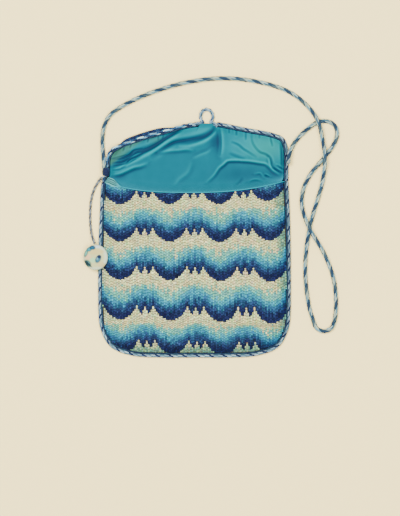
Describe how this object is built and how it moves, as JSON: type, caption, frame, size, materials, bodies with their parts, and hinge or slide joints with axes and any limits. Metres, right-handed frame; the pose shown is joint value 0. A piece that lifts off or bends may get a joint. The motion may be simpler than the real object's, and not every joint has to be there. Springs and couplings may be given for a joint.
{
  "type": "needlework purse",
  "caption": "Flat flame-stitch needlework purse lying open on its back: silk-lined pocket and turned-up flap, corded edge, loop, button on a thin cord and a long twisted carrying cord.",
  "frame": {"origin": "middle of the purse and its button loop as it lies, on the surface that it lies on", "axes": "+Y up the purse towards the open flap, +X across it to the right of the front, +Z out of the surface"},
  "size_m": [0.1783, 0.1968, 0.0135],
  "materials": {
    "needlework": "stitched in wool, matt",
    "silk_lining": "plain silk, soft sheen",
    "twisted_cord": "twisted from blue and cream yarns",
    "button_cloth": "cloth cover, matt"
  },
  "bodies": {
    "root": {"front_panel": "needlework", "back_panel": "needlework", "front_lining": "silk_lining", "back_lining": "silk_lining", "body_edging": "twisted_cord", "flap_edging_left": "twisted_cord", "flap_edging_right": "twisted_cord", "button_loop": "twisted_cord", "strap": "twisted_cord", "button_cord": "twisted_cord", "button": "button_cloth"}
  },
  "joints": []
}
